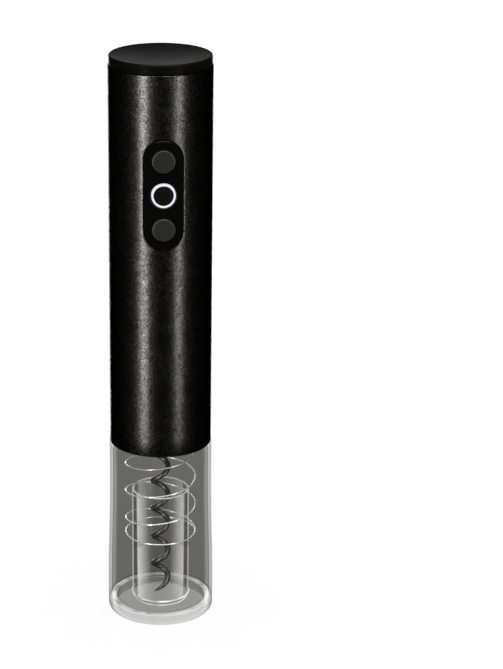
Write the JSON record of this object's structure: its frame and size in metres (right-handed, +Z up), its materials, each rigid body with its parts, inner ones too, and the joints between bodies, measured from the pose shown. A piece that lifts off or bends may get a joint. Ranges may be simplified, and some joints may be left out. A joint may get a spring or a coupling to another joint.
{
  "type": "electric wine opener",
  "caption": "Battery-powered corkscrew: a black tube with push buttons and a light ring over a clear bottle guide with a spring-loaded cork sleeve and worm.",
  "frame": {"origin": "centre of the foot ring, on the surface that the opener stands on", "axes": "+Z up along the opener, -Y out of the button panel, +X to the right of someone who faces the buttons"},
  "size_m": [0.0482, 0.0482, 0.2617],
  "materials": {
    "body_paint": "satin black paint with a fine metallic sparkle",
    "satin_black_plastic": "satin",
    "button_plastic": "satin, slightly lighter than the panel",
    "clear_plastic": "clear, with a light smoke tint",
    "light_guide": "frosted white, lit from behind",
    "grey_plastic": "moulded, fine texture",
    "inner_black_plastic": "moulded, fine texture",
    "gear_plastic": "natural acetal, slightly waxy",
    "spring_steel": "bright drawn wire",
    "worm_steel": "dark non-stick coated steel",
    "machined_steel": "turned",
    "plated_steel": "zinc or nickel plated",
    "bronze": "sintered",
    "copper": "laminated core with enamelled windings",
    "ferrite": "matt grey",
    "board": "green solder mask",
    "cell": "printed film sleeve, plain grey",
    "red_wire": "satin",
    "black_wire": "satin"
  },
  "bodies": {
    "housing": {"battery_1": "cell", "battery_2": "cell", "battery_3": "cell", "battery_4": "cell", "battery_holder": "inner_black_plastic", "battery_lead_black": "black_wire", "battery_lead_red": "red_wire", "body_tube": "body_paint", "bottle_skirt": "clear_plastic", "chassis_front": "grey_plastic", "chassis_rear": "grey_plastic", "chassis_screw_left": "plated_steel", "chassis_screw_right": "plated_steel", "circuit_board": "board", "contact_bridge": "plated_steel", "contact_terminal_minus": "plated_steel", "contact_terminal_plus": "plated_steel", "control_panel": "satin_black_plastic", "gearbox_housing": "gear_plastic", "light_ring": "light_guide", "motor_can": "plated_steel", "motor_driver_chip": "inner_black_plastic", "motor_end_cap": "inner_black_plastic", "motor_lead_black": "black_wire", "motor_lead_red": "red_wire", "motor_magnet_left": "ferrite", "motor_magnet_right": "ferrite", "motor_plate": "machined_steel", "motor_screw_left": "plated_steel", "motor_screw_right": "plated_steel", "output_bush": "bronze", "return_spring": "spring_steel", "ring_cap": "satin_black_plastic", "ring_led": "gear_plastic", "spring_retainer": "inner_black_plastic", "switch_base_down": "inner_black_plastic", "switch_base_up": "inner_black_plastic"},
    "battery_cap": {"battery_cap": "satin_black_plastic", "contact_carrier": "grey_plastic", "cap_contact_front": "plated_steel", "cap_contact_rear": "plated_steel"},
    "button_up": {"button_up": "button_plastic", "switch_plunger_up": "gear_plastic"},
    "button_down": {"button_down": "button_plastic", "switch_plunger_down": "gear_plastic"},
    "cork_sleeve": {"cork_sleeve": "clear_plastic"},
    "worm_drive": {"worm": "worm_steel", "worm_hub": "inner_black_plastic", "output_shaft": "machined_steel", "stage2_carrier": "machined_steel"},
    "stage1_carrier": {"stage1_carrier": "machined_steel"},
    "motor_rotor": {"motor_rotor": "copper", "motor_shaft": "machined_steel", "sun_pinion": "bronze"},
    "stage1_planet_1": {"stage1_planet_1": "gear_plastic"},
    "stage1_planet_2": {"stage1_planet_2": "gear_plastic"},
    "stage1_planet_3": {"stage1_planet_3": "gear_plastic"},
    "stage2_planet_1": {"stage2_planet_1": "gear_plastic"},
    "stage2_planet_2": {"stage2_planet_2": "gear_plastic"},
    "stage2_planet_3": {"stage2_planet_3": "gear_plastic"}
  },
  "joints": [
    {"name": "battery_cap_lift", "type": "slide", "parent": "housing", "child": "battery_cap", "axis": [0, 0, 1], "range_m": [0, 0.03]},
    {"name": "button_up_press", "type": "slide", "parent": "housing", "child": "button_up", "axis": [0, 1, 0], "range_m": [0, 0.0006], "stiffness_N_per_m": 2000, "springref_m": -0.0006},
    {"name": "button_down_press", "type": "slide", "parent": "housing", "child": "button_down", "axis": [0, 1, 0], "range_m": [0, 0.0006], "stiffness_N_per_m": 2000, "springref_m": -0.0006},
    {"name": "cork_sleeve_slide", "type": "slide", "parent": "housing", "child": "cork_sleeve", "axis": [0, 0, 1], "range_m": [0, 0.052], "stiffness_N_per_m": 120, "springref_m": -0.05, "deforming": ["return_spring"]},
    {"name": "worm_spin", "type": "hinge", "parent": "housing", "child": "worm_drive", "pos_m": [0, 0, 0], "axis": [0, 0, 1], "continuous": true},
    {"name": "stage1_carrier_spin", "type": "hinge", "parent": "housing", "child": "stage1_carrier", "pos_m": [0, 0, 0], "axis": [0, 0, 1], "continuous": true},
    {"name": "motor_spin", "type": "hinge", "parent": "housing", "child": "motor_rotor", "pos_m": [0, 0, 0], "axis": [0, 0, 1], "continuous": true},
    {"name": "stage1_planet_1_spin", "type": "hinge", "parent": "stage1_carrier", "child": "stage1_planet_1", "pos_m": [0, 0.00975, 0], "axis": [0, 0, 1], "continuous": true},
    {"name": "stage1_planet_2_spin", "type": "hinge", "parent": "stage1_carrier", "child": "stage1_planet_2", "pos_m": [-0.00844, -0.00487, 0], "axis": [0, 0, 1], "continuous": true},
    {"name": "stage1_planet_3_spin", "type": "hinge", "parent": "stage1_carrier", "child": "stage1_planet_3", "pos_m": [0.00844, -0.00487, 0], "axis": [0, 0, 1], "continuous": true},
    {"name": "stage2_planet_1_spin", "type": "hinge", "parent": "worm_drive", "child": "stage2_planet_1", "pos_m": [0, 0.00975, 0], "axis": [0, 0, 1], "continuous": true},
    {"name": "stage2_planet_2_spin", "type": "hinge", "parent": "worm_drive", "child": "stage2_planet_2", "pos_m": [-0.00844, -0.00487, 0], "axis": [0, 0, 1], "continuous": true},
    {"name": "stage2_planet_3_spin", "type": "hinge", "parent": "worm_drive", "child": "stage2_planet_3", "pos_m": [0.00844, -0.00487, 0], "axis": [0, 0, 1], "continuous": true}
  ],
  "couplings": [
    {"joint": "stage1_carrier_spin", "follows": "worm_spin", "ratio": 5},
    {"joint": "motor_spin", "follows": "worm_spin", "ratio": 25},
    {"joint": "stage1_planet_1_spin", "follows": "worm_spin", "ratio": -13.333},
    {"joint": "stage1_planet_2_spin", "follows": "worm_spin", "ratio": -13.333},
    {"joint": "stage1_planet_3_spin", "follows": "worm_spin", "ratio": -13.333},
    {"joint": "stage2_planet_1_spin", "follows": "worm_spin", "ratio": -2.6667},
    {"joint": "stage2_planet_2_spin", "follows": "worm_spin", "ratio": -2.6667},
    {"joint": "stage2_planet_3_spin", "follows": "worm_spin", "ratio": -2.6667}
  ]
}
